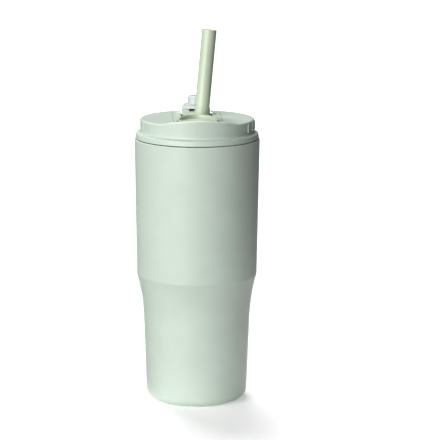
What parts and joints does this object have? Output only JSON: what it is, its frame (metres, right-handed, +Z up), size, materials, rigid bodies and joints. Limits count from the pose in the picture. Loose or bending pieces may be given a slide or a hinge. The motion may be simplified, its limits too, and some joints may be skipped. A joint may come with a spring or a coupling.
{
  "type": "insulated tumbler with lid",
  "caption": "Tall double-walled steel tumbler with a tapered foot, a screw lid with a raised drinking lip, a flip-back stopper and a leaning straw.",
  "frame": {"origin": "centre of the foot, on the plane that the bottle stands on", "axes": "+Z up along the bottle's axis, -Y towards the drinking side of the lid, +X to the drinker's left as the lid faces them, which is the right of a front view"},
  "size_m": [0.0958, 0.0958, 0.2865],
  "materials": {
    "powder_coat": "fine matt powder coat in pale sage green",
    "raw_steel": "plain stainless steel",
    "brushed_liner": "turned and electropolished stainless steel",
    "copper_foil": "thin bright foil",
    "seal_resin": "sealing resin",
    "lid_plastic": "satin moulded plastic in pale sage green",
    "straw_plastic": "smooth slightly translucent plastic in pale yellow green",
    "white_silicone": "soft satin silicone, cool white",
    "clear_silicone": "soft translucent silicone"
  },
  "bodies": {
    "bottle": {"outer_shell": "powder_coat", "base_plate": "raw_steel", "base_cover": "powder_coat", "vacuum_seal": "seal_resin", "inner_vessel": "brushed_liner", "inner_base": "brushed_liner", "getter": "raw_steel", "heat_foil": "copper_foil"},
    "gasket": {"lid_gasket": "clear_silicone"},
    "lid": {"lid_shell": "lid_plastic", "centre_strip": "lid_plastic", "lid_plug": "lid_plastic", "port_seal": "clear_silicone", "mouthpiece": "straw_plastic", "mouthpiece_seal": "clear_silicone", "hinge_pin": "raw_steel"},
    "flap": {"flap": "lid_plastic", "stopper": "white_silicone"},
    "straw": {"straw": "straw_plastic"}
  },
  "joints": [
    {"name": "lid_rise", "type": "slide", "parent": "bottle", "child": "gasket", "axis": [0, 0, 1], "range_m": [0, 0.0201]},
    {"name": "lid_turn", "type": "hinge", "parent": "gasket", "child": "lid", "pos_m": [0, 0, 0.2], "axis": [0, 0, 1], "range_deg": [0, 450]},
    {"name": "flap_swing", "type": "hinge", "parent": "lid", "child": "flap", "pos_m": [0, 0.0205, 0.2194], "axis": [1, 0, 0], "range_deg": [0, 44]},
    {"name": "straw_slide", "type": "slide", "parent": "lid", "child": "straw", "axis": [0.0905, 0.0434, 0.9949], "range_m": [0, 0.225]}
  ],
  "couplings": [
    {"joint": "lid_rise", "follows": "lid_turn", "m_per_rad": 0.0025465}
  ]
}
